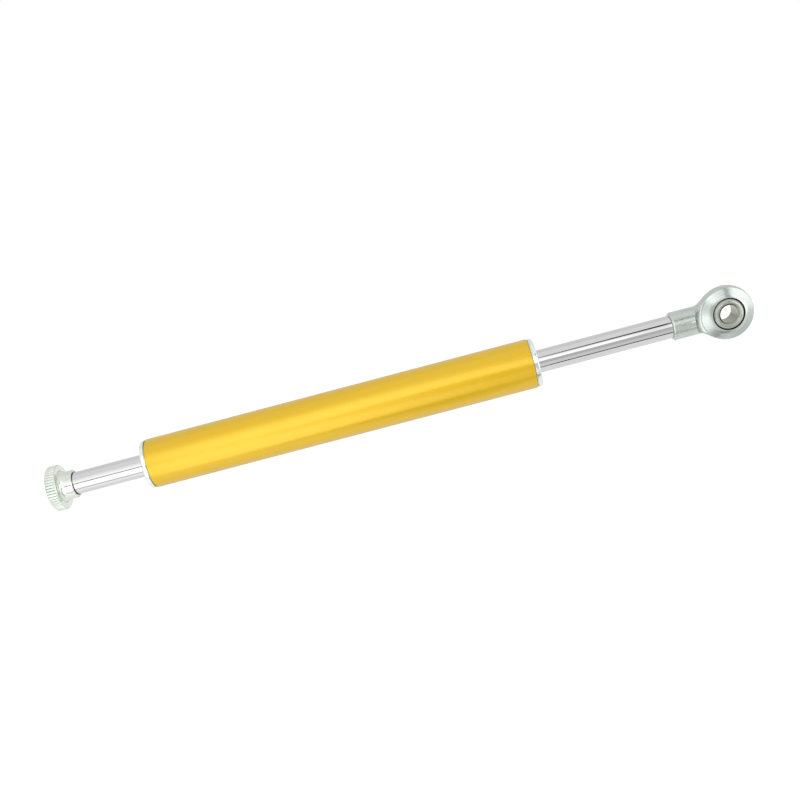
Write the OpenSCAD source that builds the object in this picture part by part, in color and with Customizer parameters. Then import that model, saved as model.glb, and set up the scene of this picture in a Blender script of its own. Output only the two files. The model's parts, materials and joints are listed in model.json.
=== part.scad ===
// Linear steering damper with a through rod, an adjuster knob and a rod end.
// Millimetres. The damper lies along X: the rod end is at +X, the knob at -X.
// The origin is the middle of the barrel, on its axis. The rod end's hole lies along Y.

/* [Barrel] */
// Length of the barrel tube
tube_len = 174; // [160:1:200]
// Outside diameter of the barrel tube
tube_d = 22; // [20:0.5:26]
// Wall of the barrel tube
tube_wall = 2; // [1.2:0.1:2.4]
// Chamfer on the outer edge of each end of the tube
tube_chamfer = 0.3; // [0.1:0.1:0.8]

/* [End caps] */
// How far a cap's flange stands out past the tube
flange_t = 2.2; // [1.8:0.1:4]
// Step down from the tube's surface to the flange
flange_step = 0.2; // [0:0.1:0.6]
// Rounding of the flange's outer edge
flange_round = 0.9; // [0.3:0.1:1]
// Width of the narrow groove between the tube and the flange
seam_w = 0.35; // [0.1:0.05:0.6]
// Depth of that groove
seam_depth = 0.8; // [0.3:0.1:1]
// Length of a cap's spigot inside the tube
spigot_len = 32; // [26:0.5:40]
// Wall of the spigot round its packing
spigot_wall = 1.7; // [1.2:0.1:2]
// Length of the solid web between the wiper and the rod seal
web_len = 5; // [4:0.1:6]
// Gap between the web and the rod
web_gap = 0.25; // [0.1:0.05:0.5]
// Cord thickness of a cap's O-ring
cap_cord = 1.8; // [1.4:0.1:2]
// Width of the O-ring groove round a cap
cap_groove_w = 2.3; // [2.1:0.1:2.8]
// Diameter of a pin spanner hole in a cap's face
spanner_hole_d = 1.6; // [1:0.1:2]
// Depth of a pin spanner hole
spanner_hole_depth = 1.4; // [0.8:0.1:1.6]

/* [Gland packing] */
// Radial thickness of a rod wiper
wiper_t = 2; // [1.4:0.1:2.3]
// Length of a rod wiper
wiper_len = 3.4; // [2.6:0.1:4.4]
// Length of a rod seal
seal_len = 4.5; // [3.5:0.1:5.5]
// Thickness of a seal washer
seal_washer_t = 1; // [0.6:0.1:1.8]
// Thickness of a bush circlip
bush_clip_t = 1; // [0.8:0.1:1.4]
// Depth of a bush circlip's groove
bush_clip_bite = 0.8; // [0.4:0.1:0.9]
// Metal of the spigot left past the circlip's groove
bush_clip_land = 2.1; // [1:0.1:4]

/* [Rod] */
// Diameter of the piston rod
rod_d = 10; // [9.6:0.1:10.4]
// Rod that shows between the rear cap and the knob
rod_show_rear = 33.1; // [30:0.1:45]
// Rod that shows between the front cap and the rod end
rod_show_front = 60.2; // [55:0.1:75]
// Length of rod inside the knob
rod_in_knob = 5.8; // [5.4:0.1:6.4]
// Small chamfer on the ends of the rod
rod_chamfer = 0.3; // [0.1:0.1:0.5]
// Diameter of the metering hole in the rod
orifice_d = 2.2; // [1.8:0.1:2.4]
// Distance of the metering hole's mouth behind the piston's middle
orifice_back = 8; // [4:0.5:12]
// Diameter of the cross ports in the rod
port_d = 1.8; // [1.2:0.1:2.2]
// Distance of a cross port from the piston's circlip
port_gap = 3; // [2:0.5:6]
// Length of the metering hole past the front port
port_tail = 2; // [1.5:0.5:4]

/* [Piston] */
// Place of the piston's middle along the barrel, at rest
piston_x = 12; // [5:0.5:20]
// Length of the piston
piston_len = 22; // [16:0.5:26]
// Chamfer on the ends of the piston
piston_chamfer = 0.8; // [0.3:0.1:1.5]
// Width of the piston ring
piston_ring_w = 4; // [3:0.1:6]
// Thickness of the piston ring
piston_ring_t = 1.1; // [0.8:0.1:1.5]
// Cord thickness of the O-ring under the piston ring
piston_cord = 1.2; // [0.9:0.1:1.4]
// Axial play of the piston between its washers
piston_play = 0.1; // [0.05:0.05:0.2]
// Thickness of a piston washer
piston_washer_t = 1.2; // [0.8:0.1:2]
// Radial gap between a piston washer and the tube
piston_washer_gap = 2; // [0.5:0.1:2.5]
// Thickness of a piston circlip
rod_clip_t = 1; // [0.8:0.1:1.4]
// How far a piston circlip stands out of the rod
rod_clip_rise = 1.3; // [0.6:0.1:1.8]
// Depth of a circlip's groove in the rod
rod_clip_bite = 0.5; // [0.3:0.05:0.7]

/* [Knob] */
// Diameter over the knob's knurl
knob_d = 20.2; // [18:0.1:21.8]
// Thickness of the knob's disc
disc_t = 4.6; // [4.2:0.1:7]
// Number of teeth in the knurl
knurl_teeth = 48; // [36:1:60]
// Depth of the knurl
knurl_depth = 0.35; // [0.2:0.05:0.5]
// Chamfer on the edges of the disc
disc_chamfer = 0.5; // [0.2:0.1:0.8]
// Diameter of the dish in the knob's outer face
dish_d = 13; // [10:0.5:15]
// Depth of the dish
dish_depth = 0.5; // [0.2:0.1:0.8]
// Wall of the knob's neck
neck_wall = 1.25; // [0.9:0.05:1.8]
// Length of the neck, from the disc to its end
neck_len = 5.9; // [5.5:0.1:6.5]
// Hollow fillet between the disc and the neck
neck_fillet = 2.2; // [1:0.1:2.6]
// Chamfer on the neck's end
neck_chamfer = 0.3; // [0.1:0.1:0.4]
// Gap between the rod and the open mouth of the neck
mouth_gap = 0.5; // [0.3:0.05:0.9]
// Depth of the open mouth
mouth_depth = 1.4; // [0.8:0.1:1.6]
// Gap between the rod's end and the floor of the knob
knob_end_gap = 0.2; // [0.1:0.05:0.4]
// Distance of the snap ring from the rod's end
snap_back = 2; // [1.6:0.1:2.6]
// Thickness of the snap ring
snap_t = 0.9; // [0.6:0.1:1.1]
// Depth of the snap ring's groove in the rod
snap_rod_bite = 0.5; // [0.3:0.05:0.6]
// Depth of the snap ring's groove in the knob
snap_knob_bite = 0.5; // [0.3:0.05:0.55]

/* [Click stop] */
// Number of dimples in the knob's floor, one for each click of a turn
click_count = 8; // [6:2:12]
// Diameter of a click ball
click_ball_d = 1.6; // [1.2:0.1:1.7]
// Depth of a dimple
click_dimple = 0.2; // [0.1:0.05:0.3]
// Wire thickness of a click spring
spring_wire = 0.22; // [0.16:0.02:0.26]
// Curls of a click spring
spring_curls = 5; // [3:1:6]
// Rise of a click spring for one curl
spring_pitch = 0.85; // [0.7:0.05:1]

/* [Needle] */
// Diameter of the needle where it is screwed into the rod
needle_d = 4; // [3.6:0.1:4.2]
// Length of the screwed part
needle_screw_len = 16; // [10:0.5:24]
// Diameter of the needle's stem
needle_stem_d = 2.8; // [2.6:0.1:3.2]
// Length of the needle's tapered point
needle_point_len = 6; // [4:0.5:9]
// Diameter of the needle's blunt end
needle_end_d = 0.6; // [0.3:0.1:1]
// Gap left at the metering hole when the needle is screwed right in
needle_shut_gap = 0.1; // [0.05:0.05:0.2]
// Axial travel of the needle from end to end
needle_travel = 2.1; // [1:0.1:2.4]
// Room past the needle's ends at its limits
needle_room = 0.2; // [0.1:0.05:0.3]
// Cord thickness of the needle's O-ring
needle_cord = 0.8; // [0.6:0.05:0.9]
// Length of the land that carries the needle's O-ring
needle_land_len = 3; // [2:0.1:4]
// Gap along the needle between the screwed part and the O-ring's land
needle_land_gap = 4; // [2:0.5:8]
// Side of the square drive between the knob and the needle
drive_w = 2.4; // [2:0.1:2.5]
// Metal left between the drive socket and the knob's dish
drive_floor_t = 0.6; // [0.4:0.1:0.9]

/* [Rod end] */
// Length of the shank, from its end to the rim of the head
shank_len = 13; // [12:0.5:25]
// Step up from the rod to the shank's end
shank_step = 1.2; // [0.5:0.05:1.5]
// Growth of the shank's radius from its end to its root
shank_taper = 0; // [0:0.05:0.8]
// Growth of the neck's radius from the shank's root into the head
eye_neck_flare = 3.35; // [1.5:0.05:3.5]
// How far outside the head's rim the neck begins to widen
eye_neck_run = 0; // [0:0.1:4]
// How far inside the head's rim the neck stops widening
eye_neck_in = 5.2; // [4:0.1:5.6]
// Chamfer on the shank's end
shank_chamfer = 0.4; // [0.1:0.1:0.6]
// Wall of the head round the race
head_wall = 3.18; // [2.6:0.02:4.5]
// Thickness of the head across its faces
head_t = 9; // [8:0.1:10]
// Radius of the head's crowned rim, seen in section
head_crown = 7.1; // [6:0.1:10]
// Flat left round the mouth of the race before each faced side falls away
facing_flat = 0.2; // [0.1:0.1:0.6]
// How far the faced side falls from there to the crown
facing_fall = 1.75; // [0.5:0.05:2]
// How far it reaches past the crown's edge
facing_over = 0.1; // [0.1:0.1:0.6]
// Radius of the cove in which it runs out to the shank
facing_cove = 3.7; // [3.2:0.1:4.2]
// Diameter of the rod's screwed end
stud_d = 8; // [6:0.1:9]
// Length of the rod's screwed end
stud_len = 10; // [8:0.5:10]
// Depth of the shank's hole past the screwed end
stud_room = 1; // [0.5:0.1:1.5]
// Wall of the race at its thinnest
race_wall = 0.8; // [0.5:0.05:1.2]
// Chamfer on the mouth of the race
race_chamfer = 0.5; // [0.1:0.1:0.5]
// Diameter of the ball
ball_d = 15.88; // [15.5:0.02:16.1]
// Width of the ball across its flats
ball_w = 11; // [10:0.1:12.5]
// Bore of the ball
ball_bore_d = 8; // [6:0.1:8.4]
// Chamfer on the ball's bore
ball_chamfer = 0.8; // [0.2:0.1:0.9]

/* [Clearances] */
// Gap between pieces that are fixed to each other
seat_gap = 0.03; // [0.01:0.01:0.05]
// Radial gap between pieces that turn or slide on each other
run_gap = 0.05; // [0.02:0.01:0.08]
// Axial gap beside a ring in its groove
groove_gap = 0.05; // [0.02:0.01:0.1]
// Width of the split in a circlip or snap ring
split_w = 2; // [1:0.1:3]

/* [Hidden] */
$fn = 96;
// Steps in a rounded corner
round_steps = 6;
// How far a cut runs past the metal that it cuts
over = 1;

// Barrel and caps: radii, then stations along the front end
tube_r = tube_d / 2;
tube_bore_r = tube_r - tube_wall;
flange_r = tube_r - flange_step;
spigot_r = tube_bore_r - seat_gap;
cap_groove_r = tube_bore_r - cap_cord - 2 * seat_gap;
packing_r = spigot_r - spigot_wall;
tube_end_x = tube_len / 2;
cap_face_x = tube_end_x + flange_t;
cap_in_x = tube_end_x - spigot_len;
wiper_in_x = cap_face_x - wiper_len;
cap_groove_x = wiper_in_x - web_len / 2;
packing_x = wiper_in_x - web_len;
seal_x = packing_x - seat_gap;
washer_x = seal_x - seal_len - seat_gap;
bush_x = washer_x - seal_washer_t - seat_gap;
clip_groove_in_x = cap_in_x + bush_clip_land;
clip_groove_x = clip_groove_in_x + bush_clip_t + 2 * groove_gap;

// Rod: radii, then stations from the rear end to the front end
rod_r = rod_d / 2;
rod_run_r = rod_r + run_gap;
rod_seat_r = rod_r + seat_gap;
wiper_r = rod_r + wiper_t;
spanner_circle_r = (wiper_r + flange_r) / 2;
bush_clip_in_r = (rod_r + packing_r) / 2;
neck_end_x = -(cap_face_x + rod_show_rear);
rod_rear_x = neck_end_x - rod_in_knob;
shank_end_x = cap_face_x + rod_show_front;
stud_r = stud_d / 2;
stud_end_x = shank_end_x + stud_len;
piston_half = piston_len / 2;
piston_washer_at = piston_half + piston_play;
rod_clip_at = piston_washer_at + piston_washer_t + groove_gap;
piston_pack_half = rod_clip_at + rod_clip_t;
orifice_x = piston_x - orifice_back;
orifice_r = orifice_d / 2;
port_at = piston_pack_half + port_gap;
needle_bore_r = needle_d / 2 + run_gap;
rod_clip_groove_r = rod_r - rod_clip_bite;

// Piston: radii
piston_r = tube_bore_r - run_gap;
piston_ring_in_r = piston_r - piston_ring_t;
piston_groove_r = piston_ring_in_r - piston_cord - 2 * seat_gap;

// Knob and click stop: stations and radii
knob_floor_x = rod_rear_x - knob_end_gap;
disc_in_x = neck_end_x - neck_len;
knob_out_x = disc_in_x - disc_t;
knob_r = knob_d / 2;
neck_r = rod_run_r + neck_wall;
mouth_r = rod_r + mouth_gap;
drive_floor_x = knob_out_x + dish_depth + drive_floor_t;
snap_x = rod_rear_x + snap_back;
snap_rod_r = rod_r - snap_rod_bite;
snap_knob_r = rod_run_r + snap_knob_bite;
click_ball_r = click_ball_d / 2;
click_hole_r = click_ball_r + run_gap;
click_circle_r = (needle_bore_r + snap_rod_r) / 2;
click_ball_x = knob_floor_x + seat_gap + click_ball_r;
spring_x = click_ball_x + click_ball_r + spring_wire / 2 + seat_gap;
spring_len = spring_curls * spring_pitch;
spring_r = click_ball_r - spring_wire;
click_hole_end_x = spring_x + spring_len + spring_wire / 2 + seat_gap;

// Needle: stations along the rod
needle_half_travel = needle_travel / 2;
needle_tail_x = drive_floor_x + needle_half_travel + needle_room;
needle_screw_x = rod_rear_x + needle_half_travel + needle_room;
needle_screw_end_x = needle_screw_x + needle_screw_len;
needle_land_x = needle_screw_end_x + needle_land_gap;
needle_land_end_x = needle_land_x + needle_land_len;
needle_stem_r = needle_stem_d / 2;
needle_end_r = needle_end_d / 2;
needle_groove_r = needle_bore_r - seat_gap - needle_cord - seat_gap;
needle_groove_half = needle_cord / 2 + groove_gap;
needle_o_ring_x = needle_land_x + needle_land_len / 2;
// Part of the point that lies past the metering hole's mouth when it is shut
point_in = needle_point_len
    * (orifice_r - needle_shut_gap - needle_end_r) / (needle_stem_r - needle_end_r);
needle_end_x = orifice_x + point_in - needle_half_travel;
needle_point_x = needle_end_x - needle_point_len;

// Rod end: radii
ball_r = ball_d / 2;
race_in_r = ball_r + run_gap;
race_r = race_in_r + race_wall;
race_seat_r = race_r + seat_gap;
head_r = race_seat_r + head_wall;
eye_x = shank_end_x + shank_len + head_r;
shank_r = rod_r + shank_step;
shank_root_r = shank_r + shank_taper;
eye_neck_r = shank_root_r + eye_neck_flare;
eye_neck_start_x = eye_x - head_r - eye_neck_run;
eye_neck_stop_x = eye_x - head_r + eye_neck_in;
ball_bore_r = ball_bore_d / 2;
race_mouth_r = sqrt(pow(race_in_r, 2) - pow(head_t / 2, 2));
facing_flat_r = race_mouth_r + race_chamfer + facing_flat;
facing_rim_y = head_t / 2 - facing_fall;
crown_edge_r = head_r - head_crown + sqrt(pow(head_crown, 2) - pow(facing_rim_y, 2));
facing_r = crown_edge_r + facing_over;

// Colours of the finishes
gold = [0.93, 0.72, 0.22];
polished = [0.80, 0.83, 0.80];
chrome = [0.86, 0.86, 0.87];
zinc = [0.74, 0.78, 0.75];
bearing = [0.68, 0.68, 0.65];
spring_steel = [0.45, 0.46, 0.48];
bronze = [0.70, 0.52, 0.28];
rubber = [0.08, 0.08, 0.09];
white_plastic = [0.88, 0.87, 0.83];
brass = [0.80, 0.66, 0.32];

// A solid turned about the X axis, from points given as [place along X, radius]
module turned(points) {
    rotate([0, 90, 0])
        rotate_extrude()
            polygon([for (p = points) [p[1], p[0]]]);
}

// A plain ring about the X axis
module ring(x0, x1, r_in, r_out) {
    turned([[x0, r_in], [x1, r_in], [x1, r_out], [x0, r_out]]);
}

// A ring about the X axis that is split at the top, as a circlip is
module split_ring(x0, x1, r_in, r_out) {
    difference() {
        ring(x0, x1, r_in, r_out);
        translate([x0 - over, -split_w / 2, 0])
            cube([x1 - x0 + 2 * over, split_w, r_out + over]);
    }
}

// A ring of round section about the X axis
module o_ring(x, mid_r, cord) {
    translate([x, 0, 0])
        rotate([0, 90, 0])
            rotate_extrude()
                translate([mid_r, 0])
                    circle(d = cord, $fn = 32);
}

// A round bar or hole along X
module bar(x0, x1, r) {
    translate([x0, 0, 0])
        rotate([0, 90, 0])
            cylinder(h = x1 - x0, r = r);
}

// Turns what is drawn about Z so that it lies about the Y axis through the eye
module about_eye() {
    translate([eye_x, 0, 0])
        rotate([-90, 0, 0])
            children();
}

// The rear end of the barrel holds the same pieces as the front end, the other way round
module at_rear() {
    mirror([1, 0, 0])
        children();
}

// Points of a quarter round, about a centre, between two angles
function arc(cx, cr, r, from, to) = [
    for (i = [0 : round_steps])
        let (a = from + (to - from) * i / round_steps)
        [cx + r * cos(a), cr + r * sin(a)]
];

module barrel_tube() {
    color(gold)
        turned([
            [-tube_end_x, tube_bore_r],
            [-tube_end_x, tube_r - tube_chamfer],
            [-tube_end_x + tube_chamfer, tube_r],
            [tube_end_x - tube_chamfer, tube_r],
            [tube_end_x, tube_r - tube_chamfer],
            [tube_end_x, tube_bore_r]
        ]);
}

// Flange and spigot, bored for the wiper at the face and for the packing from inside
module end_cap() {
    color(polished)
        difference() {
            turned(concat(
                [
                    [cap_in_x, rod_r + web_gap],
                    [cap_in_x, spigot_r],
                    [tube_end_x + seat_gap, spigot_r],
                    [tube_end_x + seat_gap, flange_r - seam_depth],
                    [tube_end_x + seam_w, flange_r - seam_depth],
                    [tube_end_x + seam_w, flange_r]
                ],
                arc(cap_face_x - flange_round, flange_r - flange_round, flange_round, 90, 0),
                [[cap_face_x, rod_r + web_gap]]
            ));
            ring(cap_groove_x - cap_groove_w / 2, cap_groove_x + cap_groove_w / 2,
                cap_groove_r, tube_bore_r + over);
            bar(wiper_in_x, cap_face_x + over, wiper_r);
            bar(cap_in_x - over, packing_x, packing_r);
            bar(clip_groove_in_x, clip_groove_x, packing_r + bush_clip_bite);
            for (side = [-1, 1])
                translate([0, 0, side * spanner_circle_r])
                    bar(cap_face_x - spanner_hole_depth, cap_face_x + over, spanner_hole_d / 2);
        }
}

module cap_o_ring() {
    color(rubber)
        o_ring(cap_groove_x, tube_bore_r - seat_gap - cap_cord / 2, cap_cord);
}

// A rubber ring with a scraping lip at the rod and a hollow behind the lip
module wiper() {
    outer_r = wiper_r - seat_gap;
    wall = (outer_r - rod_run_r) / 4;
    hollow = wiper_len / 3;
    color(rubber)
        turned([
            [wiper_in_x + seat_gap, rod_run_r],
            [wiper_in_x + seat_gap, outer_r],
            [cap_face_x, outer_r],
            [cap_face_x, outer_r - wall],
            [cap_face_x - hollow, outer_r - wall],
            [cap_face_x - hollow, rod_run_r + 2 * wall],
            [cap_face_x, rod_run_r + wall],
            [cap_face_x, rod_run_r]
        ]);
}

// A lipped seal, open towards the oil
module rod_seal() {
    outer_r = packing_r - seat_gap;
    seal_in_x = seal_x - seal_len;
    lip = (outer_r - rod_run_r) / 4;
    color(rubber)
        turned([
            [seal_x, rod_run_r],
            [seal_x, outer_r],
            [seal_in_x, outer_r],
            [seal_in_x, outer_r - lip],
            [seal_in_x + seal_len / 2, (outer_r + rod_run_r) / 2],
            [seal_in_x, rod_run_r + lip],
            [seal_in_x, rod_run_r]
        ]);
}

module seal_washer() {
    color(spring_steel)
        ring(washer_x - seal_washer_t, washer_x, rod_r + web_gap, packing_r - seat_gap);
}

module guide_bush() {
    color(bronze)
        ring(clip_groove_x, bush_x, rod_run_r, packing_r - seat_gap);
}

module bush_circlip() {
    color(spring_steel)
        split_ring(clip_groove_in_x + groove_gap, clip_groove_x - groove_gap,
            bush_clip_in_r, packing_r + bush_clip_bite - seat_gap);
}

module piston() {
    groove_half = piston_ring_w / 2 + groove_gap;
    color(polished)
        difference() {
            turned([
                [piston_x - piston_half, rod_run_r],
                [piston_x - piston_half, piston_r - piston_chamfer],
                [piston_x - piston_half + piston_chamfer, piston_r],
                [piston_x + piston_half - piston_chamfer, piston_r],
                [piston_x + piston_half, piston_r - piston_chamfer],
                [piston_x + piston_half, rod_run_r]
            ]);
            ring(piston_x - groove_half, piston_x + groove_half, piston_groove_r, piston_r + over);
        }
}

module piston_ring() {
    color(white_plastic)
        ring(piston_x - piston_ring_w / 2, piston_x + piston_ring_w / 2, piston_ring_in_r, piston_r);
}

module piston_o_ring() {
    color(rubber)
        o_ring(piston_x, piston_ring_in_r - seat_gap - piston_cord / 2, piston_cord);
}

// Hollow from the rear as far as the piston, with a port on each side of it
module piston_rod() {
    color(chrome)
        difference() {
            turned([
                [rod_rear_x, 0],
                [rod_rear_x, rod_r - rod_chamfer],
                [rod_rear_x + rod_chamfer, rod_r],
                [shank_end_x - seat_gap, rod_r],
                [shank_end_x - seat_gap, stud_r - seat_gap],
                [stud_end_x - rod_chamfer, stud_r - seat_gap],
                [stud_end_x, stud_r - seat_gap - rod_chamfer],
                [stud_end_x, 0]
            ]);
            bar(rod_rear_x - over, orifice_x, needle_bore_r);
            bar(orifice_x - over, piston_x + port_at + port_tail, orifice_r);
            for (side = [-1, 1]) {
                clip_mid_x = piston_x + side * (rod_clip_at + rod_clip_t / 2);
                clip_groove_half = rod_clip_t / 2 + groove_gap;
                ring(clip_mid_x - clip_groove_half, clip_mid_x + clip_groove_half,
                    rod_clip_groove_r, rod_r + over);
                translate([piston_x + side * port_at, 0, 0])
                    cylinder(h = rod_d + 2 * over, d = port_d, center = true);
                translate([0, 0, side * click_circle_r])
                    bar(rod_rear_x - over, click_hole_end_x, click_hole_r);
            }
            ring(snap_x - snap_t / 2 - groove_gap, snap_x + snap_t / 2 + groove_gap,
                snap_rod_r, rod_r + over);
        }
}

module piston_washers() {
    color(spring_steel)
        for (side = [0, 1])
            translate([piston_x, 0, 0])
                mirror([side, 0, 0])
                    ring(piston_washer_at, piston_washer_at + piston_washer_t,
                        rod_seat_r, tube_bore_r - piston_washer_gap);
}

module piston_circlips() {
    color(spring_steel)
        for (side = [0, 1])
            translate([piston_x, 0, 0])
                mirror([side, 0, 0])
                    split_ring(rod_clip_at, rod_clip_at + rod_clip_t,
                        rod_clip_groove_r + seat_gap, rod_r + rod_clip_rise);
}

// Section of what is turned off one side of the rod end: flat at the race's mouth, falling to the crown, then a cove
module facing_section() {
    cove_top_y = facing_rim_y + facing_cove;
    polygon([
        [0, head_t / 2],
        [facing_flat_r, head_t / 2],
        [facing_r, facing_rim_y],
        [facing_r, cove_top_y],
        [facing_r + facing_cove, cove_top_y],
        [facing_r + facing_cove, 2 * eye_neck_r],
        [0, 2 * eye_neck_r]
    ]);
    intersection() {
        translate([facing_r, cove_top_y])
            circle(r = facing_cove);
        translate([facing_r, facing_rim_y])
            square(facing_cove);
    }
}

// A crowned head on a round shank, faced on both sides and bored for the race
module rod_end_housing() {
    color(zinc)
        difference() {
            union() {
                about_eye()
                    rotate_extrude()
                        intersection() {
                            translate([head_r - head_crown, 0])
                                circle(r = head_crown);
                            translate([head_r - head_crown, -head_t / 2])
                                square([head_crown + over, head_t]);
                        }
                turned([
                    [shank_end_x, 0],
                    [shank_end_x, shank_r - shank_chamfer],
                    [shank_end_x + shank_chamfer, shank_r],
                    [eye_neck_start_x, shank_root_r],
                    [eye_neck_stop_x, eye_neck_r],
                    [eye_x, eye_neck_r],
                    [eye_x, 0]
                ]);
            }
            for (side = [0, 1])
                about_eye()
                    mirror([0, 0, side])
                        rotate_extrude()
                            facing_section();
            about_eye()
                cylinder(h = head_t + 2 * over, r = race_seat_r, center = true);
            bar(shank_end_x - over, stud_end_x + stud_room, stud_r);
        }
}

// A ring with a hollow seat for the ball, faced together with the housing
module rod_end_race() {
    half_w = head_t / 2;
    color(bearing)
        about_eye()
            rotate_extrude()
                difference() {
                    translate([0, -half_w])
                        square([race_r, head_t]);
                    circle(r = race_in_r);
                    for (side = [-1, 1])
                        polygon([
                            [0, side * (half_w - race_chamfer)],
                            [race_mouth_r, side * (half_w - race_chamfer)],
                            [race_mouth_r + race_chamfer, side * half_w],
                            [race_mouth_r + race_chamfer, side * (half_w + over)],
                            [0, side * (half_w + over)]
                        ]);
                    for (side = [0, 1])
                        mirror([0, side])
                            facing_section();
                }
}

// A ball with two flats, bored for a bolt
module rod_end_ball() {
    half_w = ball_w / 2;
    color(bearing)
        about_eye()
            rotate_extrude()
                difference() {
                    intersection() {
                        circle(r = ball_r);
                        translate([ball_bore_r, -half_w])
                            square([ball_r, ball_w]);
                    }
                    for (side = [-1, 1])
                        polygon([
                            [0, side * (half_w - ball_chamfer)],
                            [ball_bore_r, side * (half_w - ball_chamfer)],
                            [ball_bore_r + ball_chamfer, side * half_w],
                            [ball_bore_r + ball_chamfer, side * (half_w + over)],
                            [0, side * (half_w + over)]
                        ]);
                }
}

// Outline of the knurl: each tooth has a flat tip and a flat root
knurl_step = 360 / knurl_teeth;
knurl_outline = [
    for (i = [0 : knurl_teeth - 1], corner = [[0, 1], [0.4, 1], [0.6, 0], [0.8, 0]])
        let (a = (i + corner[0]) * knurl_step, r = knob_r - (1 - corner[1]) * knurl_depth)
        [r * cos(a), r * sin(a)]
];

module adjuster_knob() {
    color(polished)
        difference() {
            union() {
                intersection() {
                    translate([knob_out_x, 0, 0])
                        rotate([0, 90, 0])
                            linear_extrude(height = disc_t)
                                polygon(knurl_outline);
                    turned([
                        [knob_out_x, 0],
                        [knob_out_x, knob_r - disc_chamfer],
                        [knob_out_x + disc_chamfer, knob_r],
                        [disc_in_x - disc_chamfer, knob_r],
                        [disc_in_x, knob_r - disc_chamfer],
                        [disc_in_x, 0]
                    ]);
                }
                turned(concat(
                    [[disc_in_x - over, 0], [disc_in_x - over, neck_r + neck_fillet]],
                    arc(disc_in_x + neck_fillet, neck_r + neck_fillet, neck_fillet, 180, 270),
                    [
                        [neck_end_x - neck_chamfer, neck_r],
                        [neck_end_x, neck_r - neck_chamfer],
                        [neck_end_x, 0]
                    ]
                ));
            }
            bar(knob_floor_x, neck_end_x + over, rod_run_r);
            bar(neck_end_x - mouth_depth, neck_end_x + over, mouth_r);
            bar(knob_out_x - over, knob_out_x + dish_depth, dish_d / 2);
            ring(snap_x - snap_t / 2 - seat_gap, snap_x + snap_t / 2 + seat_gap,
                rod_r, snap_knob_r);
            drive_socket();
            for (i = [0 : click_count - 1])
                rotate([i * 360 / click_count, 0, 0])
                    translate([knob_floor_x - click_dimple + click_ball_r, 0, click_circle_r])
                        sphere(r = click_ball_r);
        }
}

// The square socket in the knob's floor that drives the needle
module drive_socket() {
    side = drive_w + 2 * run_gap;
    translate([drive_floor_x, -side / 2, -side / 2])
        cube([knob_floor_x + over - drive_floor_x, side, side]);
}

module knob_snap_ring() {
    color(spring_steel)
        split_ring(snap_x - snap_t / 2, snap_x + snap_t / 2, snap_rod_r + run_gap, snap_knob_r - seat_gap);
}

// A square tail, a screwed part, a land with an O-ring groove and a long stem with a tapered point
module adjuster_needle() {
    screw_r = needle_d / 2;
    color(brass)
        union() {
            difference() {
                turned([
                    [needle_screw_x, 0],
                    [needle_screw_x, screw_r],
                    [needle_screw_end_x, screw_r],
                    [needle_screw_end_x, needle_stem_r],
                    [needle_land_x, needle_stem_r],
                    [needle_land_x, screw_r],
                    [needle_land_end_x, screw_r],
                    [needle_land_end_x, needle_stem_r],
                    [needle_point_x, needle_stem_r],
                    [needle_end_x, needle_end_r],
                    [needle_end_x, 0]
                ]);
                ring(needle_o_ring_x - needle_groove_half, needle_o_ring_x + needle_groove_half,
                    needle_groove_r, screw_r + over);
            }
            translate([needle_tail_x, -drive_w / 2, -drive_w / 2])
                cube([needle_screw_x + over - needle_tail_x, drive_w, drive_w]);
        }
}

module needle_o_ring() {
    color(rubber)
        o_ring(needle_o_ring_x, needle_bore_r - seat_gap - needle_cord / 2, needle_cord);
}

module click_balls() {
    color(bearing)
        for (side = [-1, 1])
            translate([click_ball_x, 0, side * click_circle_r])
                sphere(r = click_ball_r);
}

// Click spring: one tube of round section along a helix about X
spring_rings = 8;
spring_sides = 6;
spring_steps = spring_curls * spring_rings;
function spring_dir(k) = [0, cos(360 * k / spring_rings), sin(360 * k / spring_rings)];
function spring_mid(k) = [spring_x + spring_pitch * k / spring_rings, 0, 0] + spring_r * spring_dir(k);
function spring_point(k, s) = spring_mid(k) + spring_wire / 2
    * (cos(360 * s / spring_sides) * spring_dir(k) + sin(360 * s / spring_sides) * [1, 0, 0]);
spring_points = [
    for (k = [0 : spring_steps], s = [0 : spring_sides - 1])
        spring_point(k, s)
];
function spring_id(k, s) = k * spring_sides + s % spring_sides;
spring_faces = concat(
    [
        for (k = [0 : spring_steps - 1], s = [0 : spring_sides - 1], half = [0, 1])
            half == 0
                ? [spring_id(k, s), spring_id(k, s + 1), spring_id(k + 1, s)]
                : [spring_id(k, s + 1), spring_id(k + 1, s + 1), spring_id(k + 1, s)]
    ],
    [for (s = [1 : spring_sides - 2]) [spring_id(0, 0), spring_id(0, s + 1), spring_id(0, s)]],
    [
        for (s = [1 : spring_sides - 2])
            [spring_id(spring_steps, 0), spring_id(spring_steps, s), spring_id(spring_steps, s + 1)]
    ]
);
spring_least_gap = min([
    for (k = [0 : spring_steps - spring_rings])
        norm(spring_mid(k + spring_rings) - spring_mid(k)) - spring_wire
]);
echo(spring_least_gap = spring_least_gap);

module click_springs() {
    color(spring_steel)
        for (side = [-1, 1])
            translate([0, 0, side * click_circle_r])
                polyhedron(points = spring_points, faces = spring_faces);
}

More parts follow.
